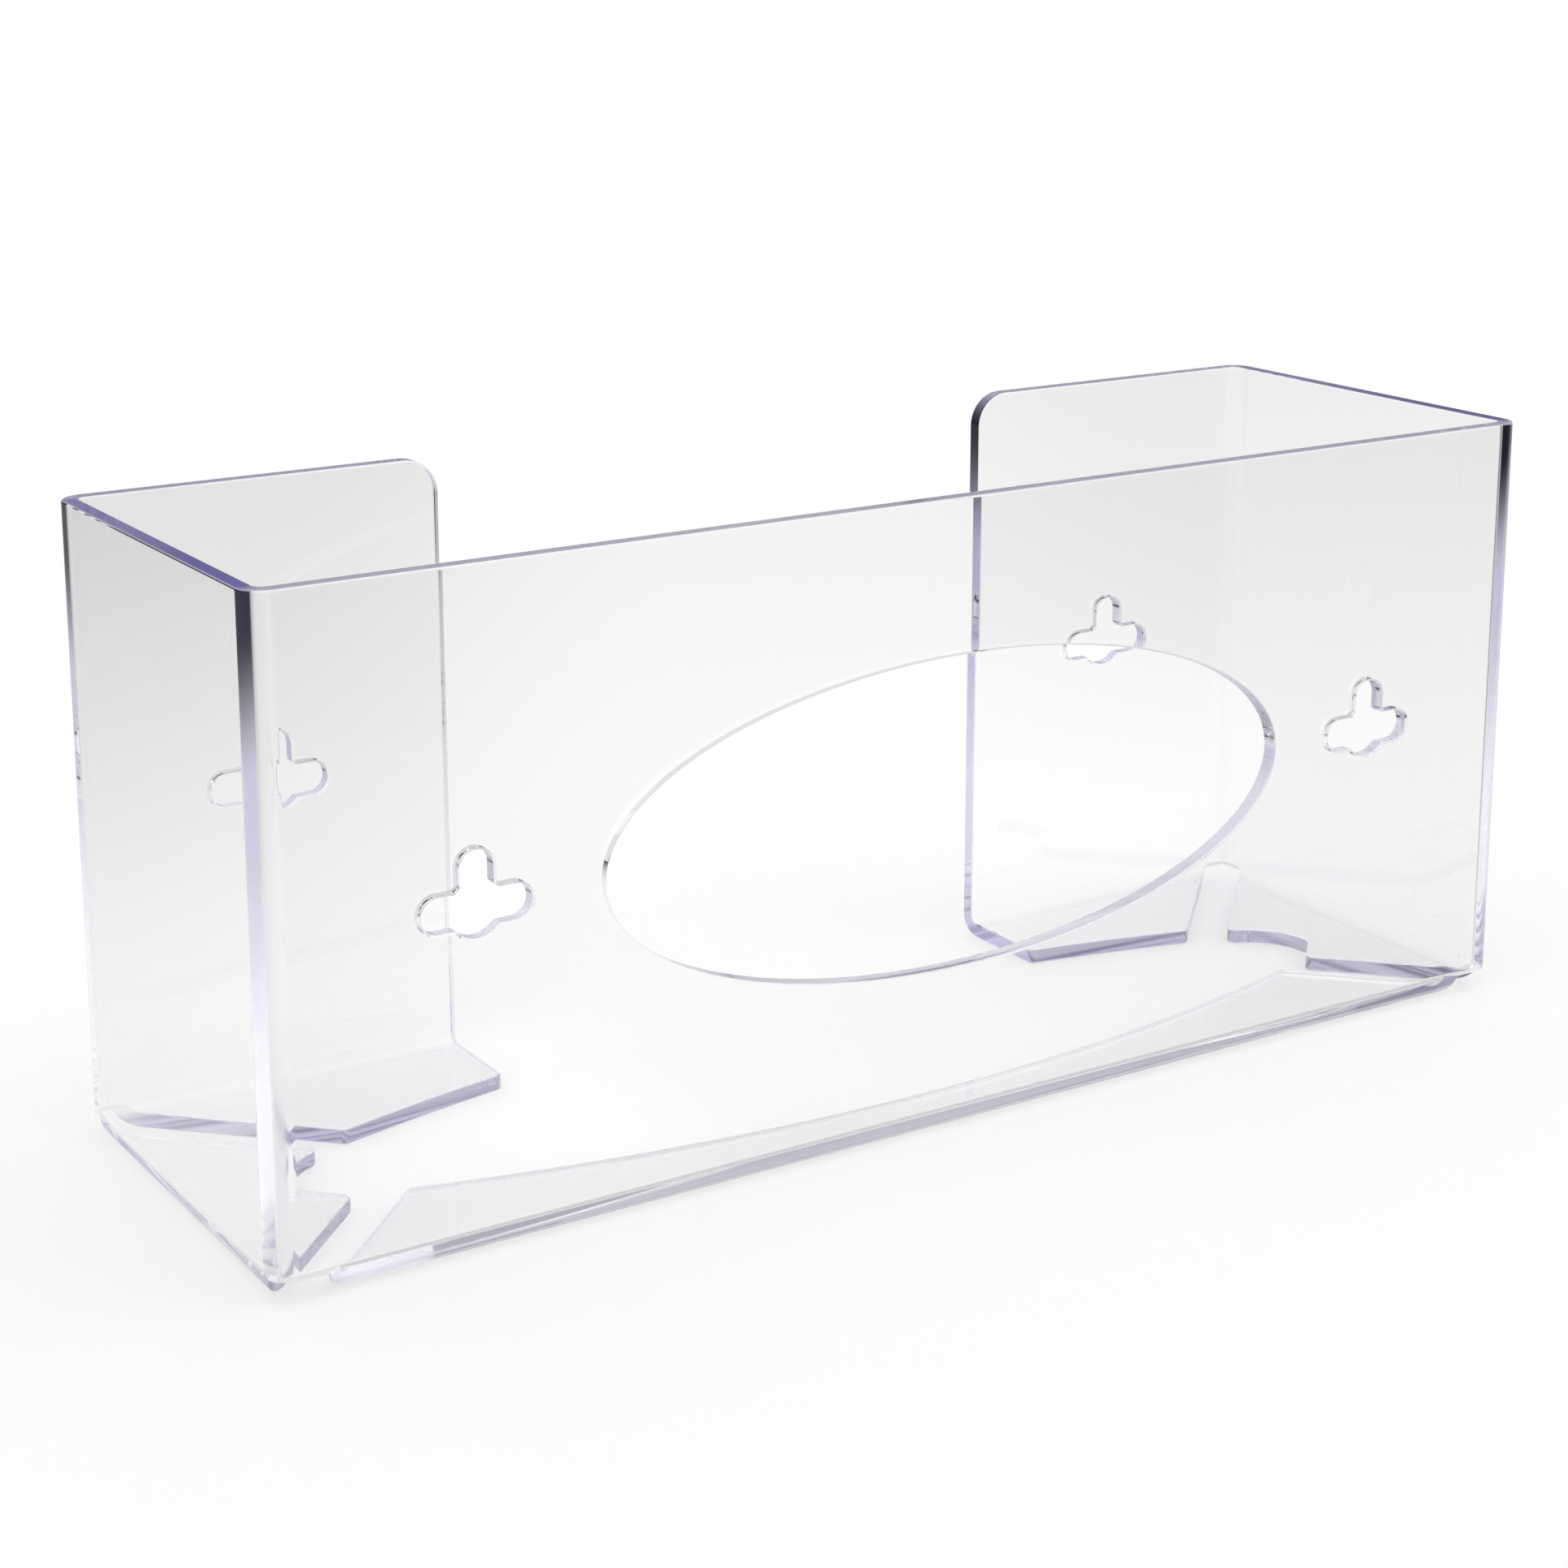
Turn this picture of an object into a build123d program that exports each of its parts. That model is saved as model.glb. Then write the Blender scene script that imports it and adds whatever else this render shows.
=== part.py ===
from build123d import *
import os
from math import sqrt

# A wall-mounted glove box holder folded from one clear sheet. +X runs along the front, -Y is the front,
# +Z is up, and the origin is the middle of the footprint on the underside.

# Overall sizes, over the outside of the folded sheet
width = 260.0
depth = 82.5
height = 114.0

# Sheet, folds and the softening of its cut edges
sheet = 3.0
inner_bend_radius = 1.5
edge_round = 0.4

# Rear: two flanges with an open gap between them
rear_gap = 120.0
rear_corner_radius = 6.5

# Oval hand opening and clover keyholes, all centred on one level above the underside
feature_level = 58.5
oval_length = 141.0
oval_height = 56.0
keyhole_spacing = 187.0
keyhole_bore = 9.6
keyhole_slot_width = 6.0
keyhole_reach = 9.75
keyhole_blend_radius = 0.8

# Floor flanges: each depth is measured inwards from the outside of the panel that carries the flange
front_flange_depth = 25.4
front_flange_waist = 12.3
side_flange_depth = 25.4
side_flange_waist = 18.8
rear_flange_depth = 22.1
notch_radius = 12.7
notch_centre = 35.5
flange_corner_radius = 1.5

# Relief slots that part the flanges at each corner and end in a round notch above the folds
relief_width = 8.0
relief_height = 5.5
front_relief_shift = 3.1

# Derived places
outer_bend_radius = inner_bend_radius + sheet
half_width = width / 2
front_face = -depth / 2
rear_face = depth / 2

# How far a cut or a band of picked edges runs past what it takes in, and how near is the same place
cut_margin = 1.0
same_place = 0.01

# The edges of a relief slot lie this far along X from the slot's middle line, which runs at 45 degrees
mitre_offset = relief_width / sqrt(2)
front_slot_x = half_width - front_relief_shift
front_tip_x = front_slot_x - mitre_offset - front_flange_depth
side_tip_x = half_width - side_flange_depth
side_tip_y = front_face + front_slot_x + mitre_offset - side_tip_x
opening_half_length = (front_tip_x + side_tip_x) / 2

# The front flange is hollowed by an arc from tip to tip, and the rear flanges end on an equal arc
sagitta = front_flange_depth - front_flange_waist
arc_radius = (front_tip_x**2 + sagitta**2) / (2 * sagitta)
front_arc_y = front_face + front_flange_waist + arc_radius
rear_arc_y = rear_face - rear_flange_depth - sqrt(arc_radius**2 - (rear_gap / 2) ** 2)
rear_tip_depth = rear_face - rear_arc_y - sqrt(arc_radius**2 - front_tip_x**2)

# One keyhole: a round entry with a screw slot upwards, leftwards and rightwards
with BuildSketch() as keyhole:
    Circle(keyhole_bore / 2)
    SlotOverall(2 * keyhole_reach, keyhole_slot_width)
    with Locations((0, (keyhole_reach - keyhole_slot_width / 2) / 2)):
        SlotOverall(keyhole_reach + keyhole_slot_width / 2, keyhole_slot_width, rotation=90)
    bore_corners = vertices().filter_by(lambda v: abs(Vector(v).length - keyhole_bore / 2) < same_place)
    fillet(bore_corners, keyhole_blend_radius)

# The notch in a side flange: part of a circle, squared off towards the front by the flange's tip
with BuildSketch() as side_notch:
    with Locations((half_width - side_flange_waist - notch_radius, front_face + notch_centre)):
        Circle(notch_radius)
    with BuildLine():
        Polyline(
            (opening_half_length, side_tip_y - side_tip_x + opening_half_length),
            (half_width, side_tip_y + side_flange_depth),
            (opening_half_length, side_tip_y + side_flange_depth),
            close=True,
        )
    make_face(mode=Mode.INTERSECT)

# The open middle of the floor, between the two arcs and out to the side notches
with BuildSketch() as floor_opening:
    with Locations((0, front_arc_y)):
        Circle(arc_radius)
    with Locations((0, rear_arc_y)):
        Circle(arc_radius, mode=Mode.INTERSECT)
    Rectangle(2 * opening_half_length, depth, mode=Mode.INTERSECT)
    add(side_notch.sketch)
    mirror(side_notch.sketch, about=Plane.YZ)

# A relief slot seen along its own run: upright sides under a round head
with BuildSketch() as relief_profile:
    with Locations((0, relief_height - relief_width / 2)):
        Circle(relief_width / 2)
        Rectangle(relief_width, relief_height, align=(Align.CENTER, Align.MAX))

# The folded sheet: panels and floor flanges share one outer and one inner fold radius
with BuildPart() as folded_sheet:
    with BuildSketch():
        RectangleRounded(width, depth, outer_bend_radius)
    extrude(amount=height)
    fillet(faces().sort_by(Axis.Z)[0].edges(), outer_bend_radius)
    offset(amount=-sheet, openings=faces().sort_by(Axis.Z)[-1])

    # Gap between the rear flanges, from the rim down through the floor
    with BuildSketch():
        with Locations((0, rear_face + cut_margin)):
            Rectangle(rear_gap, rear_flange_depth + 2 * cut_margin, align=(Align.CENTER, Align.MAX))
    extrude(amount=height, mode=Mode.SUBTRACT)

    # Open middle of the floor
    with BuildSketch():
        add(floor_opening.sketch)
    extrude(amount=sheet, mode=Mode.SUBTRACT)

    # Relief slots, cut inwards at each corner from one width outside it to two widths past the flange tip
    for side in (-1, 1):
        for slot_x, start_y, inwards, tip_depth in (
            (front_slot_x, front_face, 1, front_flange_depth),
            (half_width, rear_face, -1, rear_tip_depth),
        ):
            run = Vector(-side, inwards, 0)
            start = Vector(side * slot_x, start_y, 0) - run * relief_width
            with BuildSketch(Plane(start, x_dir=run.cross(Vector(0, 0, 1)), z_dir=run)):
                add(relief_profile.sketch)
            extrude(amount=tip_depth * sqrt(2) + 3 * relief_width, mode=Mode.SUBTRACT)

    # Rounded free corners of the rear flanges and of the floor flanges
    gap_edges = edges().filter_by(Axis.Y).filter_by_position(Axis.X, -rear_gap / 2, rear_gap / 2)
    fillet(gap_edges.filter_by_position(Axis.Z, height - cut_margin, height), rear_corner_radius)
    fillet(edges().filter_by(Axis.Z).filter_by_position(Axis.Z, 0, sheet), flange_corner_radius)

    # Softened rim and softened edges of the floor flanges
    rim_edges = faces().sort_by(Axis.Z)[-1].edges()
    flat_limit_x = half_width - outer_bend_radius - cut_margin
    flat_limit_y = rear_face - outer_bend_radius - cut_margin
    flange_edges = (
        edges()
        .filter_by(Plane.XY)
        .filter_by_position(Axis.Z, 0, sheet)
        .filter_by_position(Axis.X, -flat_limit_x, flat_limit_x)
        .filter_by_position(Axis.Y, -flat_limit_y, flat_limit_y)
    )
    fillet(rim_edges + flange_edges, edge_round)

    # Oval hand opening in the front panel
    with BuildSketch(Plane.XZ.offset(-front_face)):
        with Locations((0, feature_level)):
            Ellipse(oval_length / 2, oval_height / 2)
    extrude(amount=-sheet - cut_margin, mode=Mode.SUBTRACT)
    fillet(edges(Select.LAST).filter_by(GeomType.ELLIPSE), edge_round)

    # Keyholes, one pair in the front panel and one in the rear flanges behind it
    with BuildSketch(Plane.XZ.offset(-front_face)):
        with Locations((-keyhole_spacing / 2, feature_level), (keyhole_spacing / 2, feature_level)):
            add(keyhole.sketch)
    extrude(amount=-depth, mode=Mode.SUBTRACT)
    chamfer(edges(Select.LAST).filter_by(Plane.XZ), edge_round)

os.makedirs("parts", exist_ok=True)
folded_sheet.part.label = "folded_sheet"
export_step(folded_sheet.part, "parts/folded_sheet.step")
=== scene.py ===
import math

import bpy
import numpy as np
from bpy.props import FloatProperty, FloatVectorProperty, PointerProperty
from mathutils import Matrix, Vector


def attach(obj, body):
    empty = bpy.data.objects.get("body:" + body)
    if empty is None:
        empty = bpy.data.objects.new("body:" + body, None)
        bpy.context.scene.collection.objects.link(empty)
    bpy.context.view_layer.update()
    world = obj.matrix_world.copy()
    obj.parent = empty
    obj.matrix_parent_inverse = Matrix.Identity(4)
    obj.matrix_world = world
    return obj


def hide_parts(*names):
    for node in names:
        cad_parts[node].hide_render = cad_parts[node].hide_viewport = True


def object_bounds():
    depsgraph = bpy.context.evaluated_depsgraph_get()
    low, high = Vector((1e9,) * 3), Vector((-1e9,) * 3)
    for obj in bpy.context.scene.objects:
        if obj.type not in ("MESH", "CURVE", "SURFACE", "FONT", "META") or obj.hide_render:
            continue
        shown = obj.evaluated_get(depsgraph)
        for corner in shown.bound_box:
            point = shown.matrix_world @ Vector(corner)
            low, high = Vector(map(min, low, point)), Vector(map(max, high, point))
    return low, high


bl_info = {
    "name": "Glove dispenser",
    "version": (1, 0, 0),
    "blender": (4, 5, 0),
    "location": "View3D > Sidebar > Glove dispenser",
    "description": "Finishes a folded clear sheet holder for a glove carton and sets its stage",
    "category": "Object",
}

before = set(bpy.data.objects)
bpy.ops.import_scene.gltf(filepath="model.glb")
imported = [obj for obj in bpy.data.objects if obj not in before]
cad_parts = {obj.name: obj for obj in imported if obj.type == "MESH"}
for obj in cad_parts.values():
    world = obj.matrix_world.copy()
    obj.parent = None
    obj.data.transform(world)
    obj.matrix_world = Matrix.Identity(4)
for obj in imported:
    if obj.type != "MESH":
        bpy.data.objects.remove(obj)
CAD_LOW, CAD_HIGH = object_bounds()

# What the visual sheet stands for: its CAD node, and the body that carries it.
NODE = "folded_sheet"
BODY = "root"

# The sheet's mesh. Points nearer than SAME_PLACE are one, and a point nearer than ON_FACE lies on a face,
# both in metres. A facet belongs to a face if the cosine of their turn is over FACE_TURN. A corner that
# turns by more than SHARP_CORNER is sharp. No facet's normal is divided by less than TINY_AREA.
SAME_PLACE = 1e-6
ON_FACE = 3e-6
FACE_TURN = 0.85
SHARP_CORNER = math.radians(38)
TINY_AREA = 1e-18
# The folds' facets are halved once for each of these steps, wherever they turn by more than the step.
FOLD_STEPS = (math.radians(3), math.radians(3))
# How many times faster than the normal's fall a fold takes its full haze.
FOLD_GAIN = 4
# The share of the edge colour, the plastic's violet tint with painted shade, that cut edges take: a wall's
# other edges, and a floor flange's edges. The side panels' rims take it fully.
WALL_EDGE_SHARE = 0.48
FLOOR_EDGE_SHARE = 0.72
# The edge colour is deep at the front and thins out between these two places along y: its painted shade is
# darkest at the front.
DEEP_EDGE_SHADE_AT = -0.02
THIN_EDGE_SHADE_AT = 0.04

# Light that has turned at this many surfaces runs on inside the sheet, and is taken as scattered by its haze.
LONG_PATH = 10
# The haze by height, painted light and shade: pale up to the first height, tinted from the second, and dark
# from the third to the fourth, the painted shade at the top.
HAZE_PAINTED_LIGHT_BELOW = 0.02
HAZE_TINTED_ABOVE = 0.07
HAZE_PAINTED_SHADE_FROM = 0.082
HAZE_PAINTED_SHADE_TO = 0.108
# In the front panel the haze stays pale higher up than in the rest, by twice HAZE_SHIFT, so its painted shade
# starts higher.
HAZE_SHIFT = 0.008
FRONT_PANEL_AT = -0.018
SIDE_PANEL_AT = -0.009

# The paper floor: its colour, the glow that lifts it to white, how far it reaches to each side, and how far
# it lies below the object's feet.
PAPER = 0.8
PAPER_GLOW = 0.2
FLOOR_REACH = 6.0
FLOOR_DROP = 0.0002
# What the sheet mirrors of the floor falls off from the object at this power, a painted falloff of light. In
# front of the object a distance counts more, up to FRONT_COUNTS times, which it reaches between two places
# along x.
TABLE_POWER = 1.3
FRONT_COUNTS = 5.5
FRONT_FROM = -0.3
FRONT_TO = -0.08
# What light that ran along inside the sheet sees of the floor ends at this distance, at this power, a painted
# falloff of light.
TRAPPED_SIZE = 0.38
TRAPPED_POWER = 8
# What is seen of the floor through the sheet is lifted by painted light: a base, a share that falls off with
# distance, and two painted shades across a direction on the floor, one to its left end and a slight one to
# its right end. A row holds where a shade starts and ends, and its values there.
THROUGH_BASE = 0.085
THROUGH_NEAR = 0.12
THROUGH_POWER = 2
SHADE_WAY = (0.844, -0.537, 0)
SHADE_LEFT = (-0.19, -0.04, -0.11, 0.02)
SHADE_RIGHT = (0.03, 0.14, 0.0, -0.04)
# Right under the object the floor's left end is lifted, painted light over the object's shadow there: how far
# the lift reaches past the footprint, and its row along x.
UNDER_REACH = 0.02
UNDER_LEFT = (-0.06, -0.02, 0.045, 0.0)

# The world by kind of ray. The rows of mirrored rays go by height, on the faces and inside the wall.
WORLD_THROUGH = 0.736
WORLD_TRAPPED = 0.72
WORLD_MIRRORED = (0.2, 0.7, 0.264, 0.8)
WORLD_MIRRORED_INSIDE = (0.0, 0.6, 0.776, 0.8)

# The camera's place and shift, and its turns: round the vertical, downwards and round its own line.
CAMERA_PLACE = (-0.294, -0.44505, 0.2172)
CAMERA_SHIFT = (0.0011, -0.1348)
CAMERA_YAW = math.radians(32.45)
CAMERA_PITCH = math.radians(13.14)
CAMERA_ROLL = math.radians(0.02)
CAMERA_CLIP = (0.01, 20)
# Each soft lamp: its name, where it shines from, its width across the sky and its strength.
LAMP_AIM = (0, 0, 0.05)
LAMPS = (
    ("key", (-0.9, -1.1, 1.6), math.radians(60), 1.1),
    ("fill", (1.2, -0.6, 1.2), math.radians(60), 0.5),
)


class DispenserSheetSettings(bpy.types.PropertyGroup):
    """Sizes and colours of the clear sheet."""

    wall: FloatProperty(
        name="Sheet thickness",
        description="Thickness of the clear sheet",
        default=0.003,
        unit="LENGTH",
    )
    bend: FloatProperty(
        name="Fold radius",
        description="Radius of the folds over the outside of the sheet",
        default=0.0045,
        unit="LENGTH",
    )
    ior: FloatProperty(
        name="Index of refraction",
        description="How strongly the clear plastic bends light",
        default=1.49,
    )
    face_colour: FloatVectorProperty(
        name="Sheet colour",
        description="Colour that the polished faces let through",
        subtype="COLOR",
        size=3,
        default=(1.0, 1.0, 1.0),
    )
    # The edge colours are the plastic's violet tint at its cut edges mixed with painted shade: dark navy at
    # the front, lighter violet at the back.
    front_edge_tint_and_painted_shade: FloatVectorProperty(
        name="Edge colour",
        description="Colour of the cut edges at the front",
        subtype="COLOR",
        size=3,
        default=(0.013, 0.008, 0.15),
    )
    back_edge_tint_and_painted_shade: FloatVectorProperty(
        name="Thin edge colour",
        description="Colour of the cut edges at the back",
        subtype="COLOR",
        size=3,
        default=(0.15, 0.105, 0.42),
    )
    edge_roughness: FloatProperty(
        name="Edge haze",
        description="Roughness of the sawn and flamed cut edges",
        default=0.1,
    )
    fold_roughness: FloatProperty(
        name="Fold haze",
        description="Roughness in the middle of a heat-bent fold",
        default=0.2,
    )
    # The haze colours are painted light and shade by height: pale near the floor, tinted at half height, dark
    # at the top.
    pale_haze_painted_light: FloatVectorProperty(
        name="Pale haze",
        description="Colour of the haze inside the sheet near the floor",
        subtype="COLOR",
        size=3,
        default=(0.655, 0.655, 0.665),
    )
    tinted_haze_painted_half_shade: FloatVectorProperty(
        name="Tinted haze",
        description="Colour of the haze inside the sheet at half height",
        subtype="COLOR",
        size=3,
        default=(0.48, 0.465, 0.53),
    )
    dark_haze_painted_shade: FloatVectorProperty(
        name="Dark haze",
        description="Colour of the haze inside the sheet at the top",
        subtype="COLOR",
        size=3,
        default=(0.012, 0.012, 0.03),
    )
    depth_colour: FloatVectorProperty(
        name="Depth colour",
        description="Colour that a long way through the plastic leaves",
        subtype="COLOR",
        size=3,
        default=(0.46, 0.42, 0.66),
    )
    depth_density: FloatProperty(
        name="Depth density",
        description="How fast the plastic takes on its depth colour, per metre",
        default=3.0,
    )
    shadow_colour: FloatVectorProperty(
        name="Shadow colour",
        description="Share of the light that each face leaves in the sheet's shadow",
        subtype="COLOR",
        size=3,
        default=(0.98, 0.98, 0.982),
    )
    wave_length: FloatProperty(
        name="Wave length",
        description="Length of the faint waves in the sheet's faces",
        default=0.05,
        unit="LENGTH",
    )
    wave_height: FloatProperty(
        name="Wave height",
        description="Height of the faint waves in the sheet's faces",
        default=0.00004,
        precision=6,
        unit="LENGTH",
    )
    dust_colour: FloatVectorProperty(
        name="Dust colour",
        description="Colour of a speck of dust",
        subtype="COLOR",
        size=3,
        default=(0.1, 0.09, 0.1),
    )
    dust_strength: FloatProperty(
        name="Dust strength",
        description="How much of its colour a speck of dust shows",
        default=0.6,
    )
    dust_spacing: FloatProperty(
        name="Dust spacing",
        description="Spacing of the cells that may hold a speck of dust",
        default=0.03,
        unit="LENGTH",
    )
    dust_size: FloatProperty(
        name="Dust size",
        description="Radius of a speck of dust",
        default=0.0006,
        precision=5,
        unit="LENGTH",
    )


class DispenserStageSettings(bpy.types.PropertyGroup):
    """Camera and light."""

    lens: FloatProperty(
        name="Lens",
        description="Focal length of the camera, on a 36 mm sensor",
        default=69.5,
        unit="CAMERA",
    )
    soft_light: FloatProperty(
        name="Soft light",
        description="Strength of the even light from all round",
        default=0.64,
    )
    table_size: FloatProperty(
        name="White table",
        description="Distance at which what the sheet mirrors of the table is half as bright",
        default=0.45,
        unit="LENGTH",
    )
    sweep_size: FloatProperty(
        name="White sweep",
        description="Distance at which what is seen through the sheet has half its greying",
        default=0.45,
        unit="LENGTH",
    )


def nodes_of(owner):
    """Empties the node tree of a material or world and returns its nodes and links."""
    owner.use_nodes = True
    tree = owner.node_tree
    tree.nodes.clear()
    return tree.nodes, tree.links


def connected(links, socket, value):
    """Gives an input a plain number or tuple, or links it to an output."""
    if isinstance(value, (int, float, tuple)):
        socket.default_value = value
    else:
        links.new(value, socket)


def maths(nodes, links, operation, first, second):
    """A Math node on outputs or plain numbers; returns its output."""
    node = nodes.new("ShaderNodeMath")
    node.operation = operation
    connected(links, node.inputs[0], first)
    connected(links, node.inputs[1], second)
    return node.outputs[0]


def vector_maths(nodes, links, operation, first, second=None):
    """A Vector Math node on outputs or plain triples; returns the node."""
    node = nodes.new("ShaderNodeVectorMath")
    node.operation = operation
    connected(links, node.inputs[0], first)
    if second is not None:
        connected(links, node.inputs[1], second)
    return node


def ramp(nodes, links, value, low, high, at_low, at_high):
    """A smooth step from at_low, where the value is low, to at_high, where it is high."""
    node = nodes.new("ShaderNodeMapRange")
    node.interpolation_type = "SMOOTHSTEP"
    for name, number in (("From Min", low), ("From Max", high), ("To Min", at_low), ("To Max", at_high)):
        node.inputs[name].default_value = number
    links.new(value, node.inputs["Value"])
    return node.outputs["Result"]


def weighed(nodes, links, pairs):
    """The sum of mask times level over the pairs."""
    total = None
    for mask, level in pairs:
        part = maths(nodes, links, "MULTIPLY", mask, level)
        total = part if total is None else maths(nodes, links, "ADD", total, part)
    return total


def blended(nodes, links, factor, first, second):
    """A colour between two colours or colour outputs, by a factor."""
    node = nodes.new("ShaderNodeMix")
    node.data_type = "RGBA"
    links.new(factor, node.inputs["Factor"])
    connected(links, node.inputs["A"], first)
    connected(links, node.inputs["B"], second)
    return node.outputs["Result"]


def chosen(nodes, links, mask, first, second):
    """The first shader where the mask is 0 and the second where it is 1."""
    node = nodes.new("ShaderNodeMixShader")
    links.new(mask, node.inputs[0])
    links.new(first, node.inputs[1])
    links.new(second, node.inputs[2])
    return node.outputs[0]


def axes_of(nodes, links, place):
    """The x, y and z of a vector."""
    node = nodes.new("ShaderNodeSeparateXYZ")
    links.new(place, node.inputs[0])
    return node.outputs["X"], node.outputs["Y"], node.outputs["Z"]


def attribute(nodes, name):
    """The value of one of the sheet's own attributes."""
    node = nodes.new("ShaderNodeAttribute")
    node.attribute_name = name
    return node.outputs["Fac"]


def opaque(colour):
    """A colour property as red, green, blue and full alpha."""
    return (*colour, 1)


def sheet_colour(nodes, links, place, settings):
    """Clear faces, violet cut edges that are deepest at the front, their violet partly the plastic's tint and
    partly painted shade, and a few specks of dust.
    """
    y = axes_of(nodes, links, place)[1]
    # The painted shade on the cut edges is deepest at the front and thins out towards the back.
    front_share_of_painted_shade = ramp(nodes, links, y, DEEP_EDGE_SHADE_AT, THIN_EDGE_SHADE_AT, 1.0, 0.0)
    thin, deep = opaque(settings.back_edge_tint_and_painted_shade), opaque(settings.front_edge_tint_and_painted_shade)
    edge = blended(nodes, links, front_share_of_painted_shade, thin, deep)
    tint = blended(nodes, links, attribute(nodes, "cut_edge"), opaque(settings.face_colour), edge)
    dust = nodes.new("ShaderNodeTexVoronoi")
    dust.inputs["Scale"].default_value = 1 / settings.dust_spacing
    links.new(place, dust.inputs["Vector"])
    near = settings.dust_size / settings.dust_spacing
    speck = ramp(nodes, links, dust.outputs["Distance"], near / 2, near, settings.dust_strength, 0.0)
    return blended(nodes, links, speck, tint, opaque(settings.dust_colour))


def polished_sheet(nodes, links, place, settings):
    """Clear plastic with faint waves in its faces, hazy folds and slightly rough cut edges, whose violet
    carries painted shade.
    """
    sheet = nodes.new("ShaderNodeBsdfPrincipled")
    sheet.inputs["Transmission Weight"].default_value = 1
    sheet.inputs["IOR"].default_value = settings.ior
    links.new(sheet_colour(nodes, links, place, settings), sheet.inputs["Base Color"])
    edge = (attribute(nodes, "cut_edge"), settings.edge_roughness)
    fold = (attribute(nodes, "fold"), settings.fold_roughness)
    links.new(weighed(nodes, links, (edge, fold)), sheet.inputs["Roughness"])
    waves = nodes.new("ShaderNodeTexNoise")
    waves.inputs["Scale"].default_value = 1 / settings.wave_length
    waves.inputs["Detail"].default_value = 1
    links.new(place, waves.inputs["Vector"])
    bump = nodes.new("ShaderNodeBump")
    bump.inputs["Strength"].default_value = 1
    bump.inputs["Distance"].default_value = settings.wave_height
    links.new(waves.outputs["Fac"], bump.inputs["Height"])
    links.new(bump.outputs["Normal"], sheet.inputs["Normal"])
    return sheet.outputs[0]


def inner_haze_painted_by_height(nodes, links, place, settings):
    """What light that runs on inside the sheet ends in: an even scattering to both sides of the wall.

    Its colour goes by height, from pale near the floor over tinted to dark at the top: painted light below
    and painted shade above.
    """
    _, y, z = axes_of(nodes, links, place)
    tinted = ramp(nodes, links, z, HAZE_PAINTED_LIGHT_BELOW, HAZE_TINTED_ABOVE, 0.0, 1.0)
    colour = blended(nodes, links, tinted, opaque(settings.pale_haze_painted_light), opaque(settings.tinted_haze_painted_half_shade))
    shift = ramp(nodes, links, y, FRONT_PANEL_AT, SIDE_PANEL_AT, -HAZE_SHIFT, HAZE_SHIFT)
    height = maths(nodes, links, "ADD", z, shift)
    # The dark haze at the top is painted shade.
    dark = ramp(nodes, links, height, HAZE_PAINTED_SHADE_FROM, HAZE_PAINTED_SHADE_TO, 0.0, 1.0)
    colour = blended(nodes, links, dark, colour, opaque(settings.dark_haze_painted_shade))
    haze = nodes.new("ShaderNodeAddShader")
    for side, kind in zip(haze.inputs, ("ShaderNodeBsdfDiffuse", "ShaderNodeBsdfTranslucent")):
        half = nodes.new(kind)
        links.new(colour, half.inputs["Color"])
        links.new(half.outputs[0], side)
    return haze.outputs[0]


def clear_sheet_material(settings):
    """Clear plastic that scatters long light paths into a haze painted with light and shade by height, lets
    shadow rays through and tints with depth.
    """
    material = bpy.data.materials.new("clear_sheet")
    nodes, links = nodes_of(material)
    out = nodes.new("ShaderNodeOutputMaterial")
    place = nodes.new("ShaderNodeTexCoord").outputs["Object"]
    path = nodes.new("ShaderNodeLightPath").outputs
    running_on = maths(nodes, links, "GREATER_THAN", path["Ray Depth"], LONG_PATH - 0.5)
    polished = polished_sheet(nodes, links, place, settings)
    seen = chosen(nodes, links, running_on, polished, inner_haze_painted_by_height(nodes, links, place, settings))
    clear = nodes.new("ShaderNodeBsdfTransparent")
    clear.inputs["Color"].default_value = opaque(settings.shadow_colour)
    links.new(chosen(nodes, links, path["Is Shadow Ray"], seen, clear.outputs[0]), out.inputs["Surface"])
    depth = nodes.new("ShaderNodeVolumeAbsorption")
    depth.inputs["Color"].default_value = opaque(settings.depth_colour)
    depth.inputs["Density"].default_value = settings.depth_density
    links.new(depth.outputs[0], out.inputs["Volume"])
    return material


def ray_kinds(nodes, links, path):
    """Four masks for four kinds of ray, 1 for a ray of that kind and 0 for others.

    They are rays straight from the camera, rays that only passed through the sheet, rays that it mirrored
    once or twice, and rays mirrored more often, trapped inside it. Rays that light a surface are in none.
    """
    camera = path["Is Camera Ray"]
    lighting = maths(nodes, links, "GREATER_THAN", path["Diffuse Depth"], 0.5)
    looking = maths(nodes, links, "SUBTRACT", 1, lighting)
    turned = maths(nodes, links, "GREATER_THAN", path["Glossy Depth"], 0.5)
    turned = maths(nodes, links, "MULTIPLY", turned, looking)
    trapped = maths(nodes, links, "GREATER_THAN", path["Glossy Depth"], 2.5)
    trapped = maths(nodes, links, "MULTIPLY", trapped, looking)
    mirrored = maths(nodes, links, "SUBTRACT", turned, trapped)
    through = maths(nodes, links, "MULTIPLY", path["Is Transmission Ray"], looking)
    through = maths(nodes, links, "MULTIPLY", through, maths(nodes, links, "SUBTRACT", 1, turned))
    return camera, through, mirrored, trapped


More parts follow.
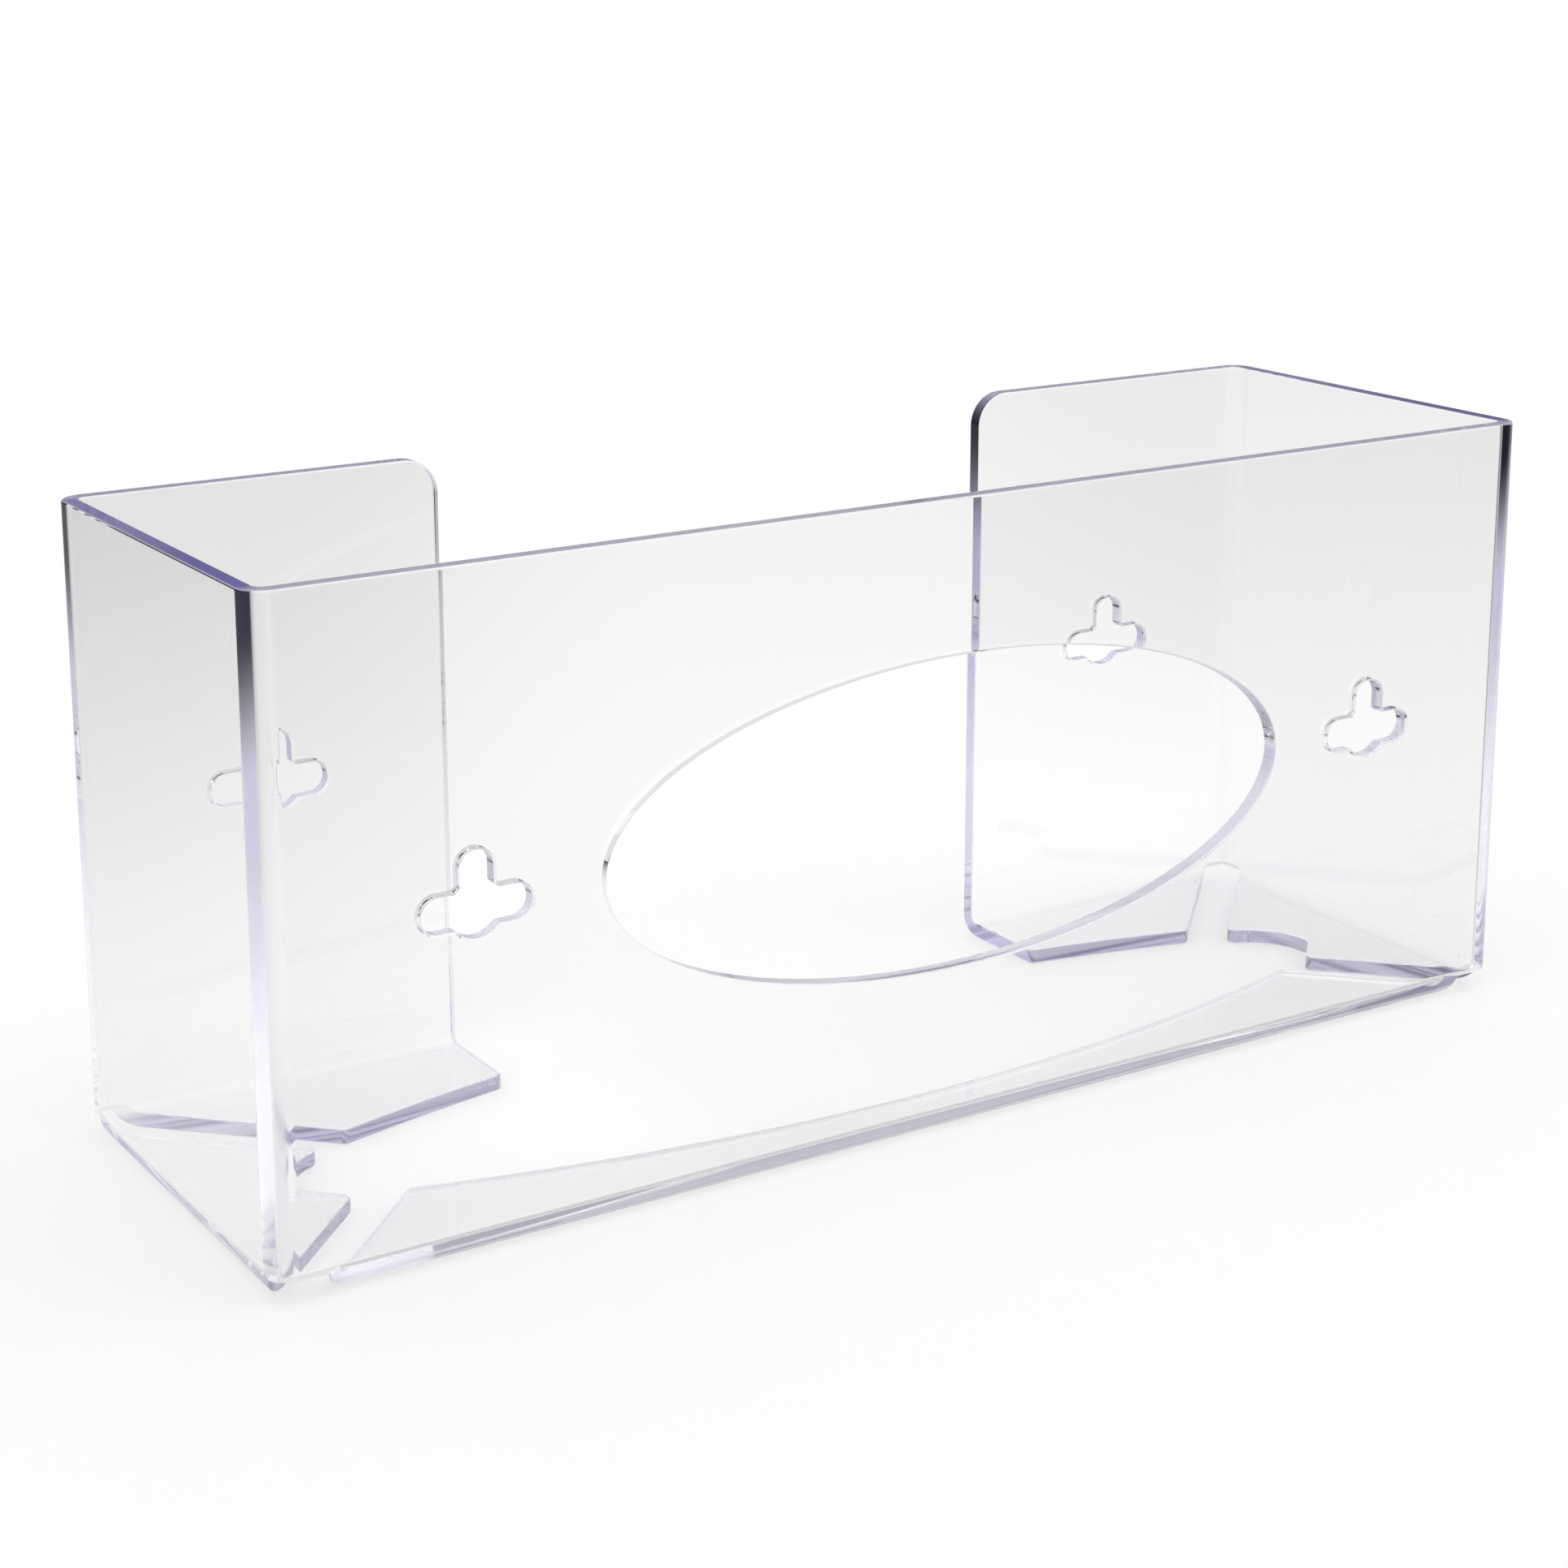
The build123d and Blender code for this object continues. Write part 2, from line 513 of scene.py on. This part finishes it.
def outside_distance(nodes, links, place, front=1.0):
    """How far a point of the floor lies outside the object's footprint.

    It is the length of max(|p| - half size, 0). In front of the object the distance counts front times, which
    grows along x from once.
    """
    size = CAD_HIGH - CAD_LOW
    ahead = vector_maths(nodes, links, "MINIMUM", place, (FLOOR_REACH, 0, FLOOR_REACH)).outputs[0]
    more = vector_maths(nodes, links, "MULTIPLY", ahead, (0, front - 1, 0)).outputs[0]
    x = axes_of(nodes, links, place)[0]
    scaled = vector_maths(nodes, links, "SCALE", more)
    links.new(ramp(nodes, links, x, FRONT_FROM, FRONT_TO, 0.0, 1.0), scaled.inputs["Scale"])
    stretched = vector_maths(nodes, links, "ADD", place, scaled.outputs[0]).outputs[0]
    away = vector_maths(nodes, links, "ABSOLUTE", stretched).outputs[0]
    half = (size.x / 2, size.y / 2, FLOOR_REACH)
    past = vector_maths(nodes, links, "SUBTRACT", away, half).outputs[0]
    past = vector_maths(nodes, links, "MAXIMUM", past, (0, 0, 0)).outputs[0]
    return vector_maths(nodes, links, "LENGTH", past).outputs["Value"]


def fading(nodes, links, distance, size, power):
    """One over one plus a power of distance over size: white near by and dark far off."""
    share = maths(nodes, links, "DIVIDE", distance, size)
    grown = maths(nodes, links, "POWER", share, power)
    return maths(nodes, links, "DIVIDE", 1, maths(nodes, links, "ADD", grown, 1))


def seen_through(nodes, links, place, far, stage):
    """The glow of the floor for rays that passed through the sheet, painted light: greyer with distance and
    to both ends, and lifted under the object's left end.
    """
    sweep = fading(nodes, links, far, stage.sweep_size, THROUGH_POWER)
    near = maths(nodes, links, "MULTIPLY", sweep, THROUGH_NEAR)
    aside = vector_maths(nodes, links, "DOT_PRODUCT", place, SHADE_WAY).outputs["Value"]
    left = ramp(nodes, links, aside, *SHADE_LEFT)
    right = ramp(nodes, links, aside, *SHADE_RIGHT)
    under = ramp(nodes, links, far, 0.0, UNDER_REACH, 1.0, 0.0)
    corner = ramp(nodes, links, axes_of(nodes, links, place)[0], *UNDER_LEFT)
    return weighed(nodes, links, ((near, 1), (THROUGH_BASE, 1), (left, 1), (right, 1), (under, corner)))


def floor_material(stage):
    """White paper that stays white to the eye. What the sheet mirrors of it greys with distance, a painted
    falloff of light.
    """
    material = bpy.data.materials.new("floor")
    nodes, links = nodes_of(material)
    out = nodes.new("ShaderNodeOutputMaterial")
    place = nodes.new("ShaderNodeTexCoord").outputs["Object"]
    path = nodes.new("ShaderNodeLightPath").outputs
    camera, through, mirrored, trapped = ray_kinds(nodes, links, path)
    other = maths(nodes, links, "SUBTRACT", 1, maths(nodes, links, "ADD", mirrored, trapped))
    far = outside_distance(nodes, links, place)
    ahead = outside_distance(nodes, links, place, FRONT_COUNTS)
    table = fading(nodes, links, ahead, stage.table_size, TABLE_POWER)
    edge = fading(nodes, links, far, TRAPPED_SIZE, TRAPPED_POWER)
    mirrored_table = maths(nodes, links, "MULTIPLY", mirrored, table)
    trapped_edge = maths(nodes, links, "MULTIPLY", trapped, edge)
    albedo = weighed(nodes, links, ((other, PAPER), (mirrored_table, PAPER), (trapped_edge, PAPER)))
    lifts = (
        (camera, PAPER_GLOW),
        (through, seen_through(nodes, links, place, far, stage)),
        (mirrored_table, PAPER_GLOW),
        (trapped_edge, PAPER_GLOW),
    )
    grey = nodes.new("ShaderNodeCombineColor")
    for socket in grey.inputs:
        links.new(albedo, socket)
    paper = nodes.new("ShaderNodeBsdfDiffuse")
    links.new(grey.outputs[0], paper.inputs["Color"])
    glow = nodes.new("ShaderNodeEmission")
    links.new(weighed(nodes, links, lifts), glow.inputs["Strength"])
    both = nodes.new("ShaderNodeAddShader")
    links.new(paper.outputs[0], both.inputs[0])
    links.new(glow.outputs[0], both.inputs[1])
    links.new(both.outputs[0], out.inputs["Surface"])
    return material


def studio_world(stage):
    """White to the eye, an even soft light on the object, and for mirrored rays grey towards the horizon."""
    world = bpy.data.worlds.new("studio")
    nodes, links = nodes_of(world)
    out = nodes.new("ShaderNodeOutputWorld")
    height = axes_of(nodes, links, nodes.new("ShaderNodeTexCoord").outputs["Generated"])[2]
    path = nodes.new("ShaderNodeLightPath").outputs
    camera, through, mirrored, trapped = ray_kinds(nodes, links, path)
    seen = weighed(nodes, links, ((camera, 1), (through, 1), (mirrored, 1), (trapped, 1)))
    lighting = maths(nodes, links, "SUBTRACT", 1, seen)
    inside = maths(nodes, links, "GREATER_THAN", path["Transmission Depth"], 0.5)
    outside = maths(nodes, links, "SUBTRACT", 1, inside)
    on_face = ramp(nodes, links, height, *WORLD_MIRRORED)
    in_wall = ramp(nodes, links, height, *WORLD_MIRRORED_INSIDE)
    overhead = weighed(nodes, links, ((inside, in_wall), (outside, on_face)))
    levels = (
        (camera, 1),
        (through, WORLD_THROUGH),
        (mirrored, overhead),
        (trapped, WORLD_TRAPPED),
        (lighting, stage.soft_light),
    )
    sky = nodes.new("ShaderNodeBackground")
    sky.inputs["Color"].default_value = (1, 1, 1, 1)
    links.new(weighed(nodes, links, levels), sky.inputs["Strength"])
    links.new(sky.outputs[0], out.inputs["Surface"])
    return world


def merged(mesh):
    """A mesh's points in metres, with those that coincide made one, and its triangles as rows of three."""
    places = np.empty(len(mesh.vertices) * 3)
    mesh.vertices.foreach_get("co", places)
    places = places.reshape(-1, 3)
    corners = np.empty(len(mesh.loops), dtype=np.int64)
    mesh.loops.foreach_get("vertex_index", corners)
    cells = np.round(places / SAME_PLACE).astype(np.int64)
    _, first, which = np.unique(cells, axis=0, return_index=True, return_inverse=True)
    triangles = which.ravel()[corners].reshape(-1, 3)
    whole = (triangles != np.roll(triangles, 1, axis=1)).all(axis=1)
    return places[first], triangles[whole]


def sheet_depth(points, bend):
    """How far each point lies outside the sheet's outer surface, and the direction outwards there.

    The outer surface is a box with rounded edges. Let q = (|x| - half width, |y| - half depth, bend - z) be
    how far a point lies past the fold lines. The distance is the length of max(q, 0) less the fold radius,
    and it grows along max(q, 0).
    """
    half = np.array((CAD_HIGH.x - bend, CAD_HIGH.y - bend))
    past = np.column_stack((np.abs(points[:, :2]) - half, bend - points[:, 2]))
    past = np.maximum(past, 0)
    reach = np.linalg.norm(past, axis=1)
    side = np.column_stack((np.sign(points[:, :2]), -np.ones(len(points))))
    return reach - bend, past * side / np.maximum(reach, SAME_PLACE)[:, None]


def halved(points, triangles, bend, step):
    """Cuts in two each edge that turns by more than step round a fold, and lifts its middle onto the arc.

    A middle is put at the mean depth of the edge's two ends, measured along the sheet's own normal. A
    triangle becomes two, three or four, by how many of its edges were cut.
    """
    depth, out = sheet_depth(points, bend)
    edges = np.sort(np.stack((triangles, np.roll(triangles, -1, axis=1)), axis=2), axis=2)
    pairs, which = np.unique(edges.reshape(-1, 2), axis=0, return_inverse=True)
    turn = (out[pairs[:, 0]] * out[pairs[:, 1]]).sum(axis=1)
    cut = turn < math.cos(step)
    middles = points[pairs[cut]].mean(axis=1)
    wanted = depth[pairs[cut]].mean(axis=1)
    found, way = sheet_depth(middles, bend)
    middles += (wanted - found)[:, None] * way
    number = np.full(len(pairs), -1)
    number[cut] = len(points) + np.arange(cut.sum())
    number = number[which.ravel()].reshape(-1, 3)
    count = (number >= 0).sum(axis=1)
    # A triangle with one cut edge has it first, and one with two has its whole edge last.
    first = np.where(count == 1, (number >= 0).argmax(axis=1), 0)
    first = np.where(count == 2, ((number < 0).argmax(axis=1) + 1) % 3, first)
    order = (first[:, None] + np.arange(3)) % 3
    a, b, c = np.take_along_axis(triangles, order, axis=1).T
    ab, bc, ca = np.take_along_axis(number, order, axis=1).T
    one, two, three = count == 1, count == 2, count == 3
    made = (
        np.column_stack((a, b, c))[count == 0],
        np.column_stack((a, ab, c))[one],
        np.column_stack((ab, b, c))[one],
        np.column_stack((ab, b, bc))[two],
        np.column_stack((a, ab, c))[two],
        np.column_stack((ab, bc, c))[two],
        np.column_stack((a, ab, ca))[three],
        np.column_stack((ab, b, bc))[three],
        np.column_stack((ca, bc, c))[three],
        np.column_stack((ab, bc, ca))[three],
    )
    return np.vstack((points, middles)), np.vstack(made)


def mean_normals(piece, context):
    """Corner normals of a piece, each the mean of its smooth neighbours by area."""
    piece.data.set_sharp_from_angle(angle=SHARP_CORNER)
    weighted = piece.modifiers.new("weighted_normal", "WEIGHTED_NORMAL")
    weighted.keep_sharp = True
    mesh = piece.evaluated_get(context.evaluated_depsgraph_get()).data
    normals = np.empty(len(mesh.loops) * 3)
    mesh.corner_normals.foreach_get("vector", normals)
    piece.modifiers.remove(weighted)
    return normals.reshape(-1, 3)


def sheet_corners(normals, points, triangles, settings):
    """Puts the sheet's own normal on its faces, and returns two values for each corner of the mesh.

    The first is how far a corner is turned to a cut edge: one less the cosine from the sheet's normal, times
    the share for that edge. The second is how far round a fold it lies, 0 on the flats and 1 well inside it.
    """
    depth, out = sheet_depth(points, settings.bend)
    a, b, c = points[triangles[:, 0]], points[triangles[:, 1]], points[triangles[:, 2]]
    flat = np.cross(b - a, c - a)
    flat = flat / np.maximum(np.linalg.norm(flat, axis=1), TINY_AREA)[:, None]
    corners = triangles.ravel()
    depth, out = depth[corners], out[corners]
    faced = (np.repeat(flat, 3, axis=0) * out).sum(axis=1)
    outer = (np.abs(depth) < ON_FACE) & (faced > FACE_TURN)
    inner = (np.abs(depth + settings.wall) < ON_FACE) & (faced < -FACE_TURN)
    normals[outer] = out[outer]
    normals[inner] = -out[inner]
    way = np.abs(out)
    # These shares set how much of the edge colour, with its painted shade, and of the edge roughness each cut
    # edge takes.
    side_rim = way[:, 0] * np.abs(normals[:, 2])
    other = WALL_EDGE_SHARE + (FLOOR_EDGE_SHARE - WALL_EDGE_SHARE) * way[:, 2]
    cut_edge = (1 - np.abs((normals * out).sum(axis=1))) * np.maximum(side_rim, other)
    # The normal's greatest part falls from one on a flat to the root of a half at the middle of a fold.
    fall = (1 - way.max(axis=1)) / (1 - math.sqrt(0.5))
    fold = np.minimum(FOLD_GAIN * fall, 1)
    return cut_edge, fold


class DISPENSER_OT_sheet(bpy.types.Operator):
    """Make the folded sheet with smooth folds: clear faces and violet cut edges with painted shade."""

    bl_idname = "dispenser.sheet"
    bl_label = "Folded sheet"

    def execute(self, context):
        settings = context.scene.dispenser_sheet
        points, triangles = merged(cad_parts[NODE].data)
        for step in FOLD_STEPS:
            points, triangles = halved(points, triangles, settings.bend, step)
        mesh = bpy.data.meshes.new("clear_sheet")
        mesh.from_pydata(points, [], triangles)
        mesh.shade_smooth()
        piece = bpy.data.objects.new("clear_sheet", mesh)
        context.scene.collection.objects.link(piece)
        normals = mean_normals(piece, context)
        cut_edge, fold = sheet_corners(normals, points, triangles, settings)
        mesh.normals_split_custom_set(normals)
        for name, values in (("cut_edge", cut_edge), ("fold", fold)):
            mesh.attributes.new(name, "FLOAT", "CORNER").data.foreach_set("value", values)
        mesh.materials.append(clear_sheet_material(settings))
        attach(piece, BODY)
        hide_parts(NODE)
        return {"FINISHED"}


def add_camera(scene, lens):
    """A camera that looks along +y, turned by its yaw, tipped down by its pitch and rolled round its line."""
    data = bpy.data.cameras.new("camera")
    data.lens = lens
    data.sensor_width = 36
    data.shift_x, data.shift_y = CAMERA_SHIFT
    data.clip_start, data.clip_end = CAMERA_CLIP
    camera = bpy.data.objects.new("camera", data)
    scene.collection.objects.link(camera)
    level = math.cos(CAMERA_PITCH)
    forward = Vector((math.sin(CAMERA_YAW) * level, math.cos(CAMERA_YAW) * level, -math.sin(CAMERA_PITCH)))
    right = Vector((math.cos(CAMERA_YAW), -math.sin(CAMERA_YAW), 0))
    down = forward.cross(right)
    turned_right = right * math.cos(CAMERA_ROLL) + down * math.sin(CAMERA_ROLL)
    turned_down = down * math.cos(CAMERA_ROLL) - right * math.sin(CAMERA_ROLL)
    turn = Matrix((turned_right, -turned_down, -forward)).transposed()
    camera.matrix_world = Matrix.Translation(CAMERA_PLACE) @ turn.to_4x4()
    scene.camera = camera


def add_floor(scene, stage):
    """A square of paper just under the object's feet."""
    reach, z = FLOOR_REACH, -FLOOR_DROP
    mesh = bpy.data.meshes.new("floor")
    corners = [(-reach, -reach, z), (reach, -reach, z), (reach, reach, z), (-reach, reach, z)]
    mesh.from_pydata(corners, [], [(0, 1, 2, 3)])
    mesh.materials.append(floor_material(stage))
    floor = bpy.data.objects.new("floor", mesh)
    scene.collection.objects.link(floor)


def add_lamp(scene, name, place, size, power):
    """A soft lamp, as wide across the sky as its size, that shines from its place to the object."""
    lamp = bpy.data.lights.new(name, "SUN")
    lamp.angle = size
    lamp.energy = power
    thing = bpy.data.objects.new(name, lamp)
    scene.collection.objects.link(thing)
    way = Vector(LAMP_AIM) - Vector(place)
    thing.matrix_world = Matrix.Translation(place) @ way.to_track_quat("-Z", "Y").to_matrix().to_4x4()


class DISPENSER_OT_stage(bpy.types.Operator):
    """Set the floor, the soft studio light and the camera."""

    bl_idname = "dispenser.stage"
    bl_label = "Stage"

    def execute(self, context):
        scene = context.scene
        stage = scene.dispenser_stage
        scene.view_settings.view_transform = "Standard"
        # Enough bounces for a long path to reach the haze inside the sheet.
        scene.cycles.glossy_bounces = scene.cycles.transmission_bounces = LONG_PATH + 2
        add_camera(scene, stage.lens)
        add_floor(scene, stage)
        scene.world = studio_world(stage)
        for name, place, size, power in LAMPS:
            add_lamp(scene, name, place, size, power)
        return {"FINISHED"}


class DISPENSER_PT_panel(bpy.types.Panel):
    """Lists the pieces and the stage."""

    bl_idname = "DISPENSER_PT_panel"
    bl_label = "Glove dispenser"
    bl_space_type = "VIEW_3D"
    bl_region_type = "UI"
    bl_category = "Glove dispenser"

    def draw(self, context):
        layout = self.layout
        layout.operator("dispenser.sheet")
        layout.operator("dispenser.stage")


CLASSES = (
    DispenserSheetSettings,
    DispenserStageSettings,
    DISPENSER_OT_sheet,
    DISPENSER_OT_stage,
    DISPENSER_PT_panel,
)


def register():
    for cls in CLASSES:
        bpy.utils.register_class(cls)
    bpy.types.Scene.dispenser_sheet = PointerProperty(type=DispenserSheetSettings)
    bpy.types.Scene.dispenser_stage = PointerProperty(type=DispenserStageSettings)


def unregister():
    del bpy.types.Scene.dispenser_stage
    del bpy.types.Scene.dispenser_sheet
    for cls in reversed(CLASSES):
        bpy.utils.unregister_class(cls)


def main():
    register()
    bpy.ops.dispenser.sheet()
    bpy.ops.dispenser.stage()


if __name__ == "__main__":
    main()
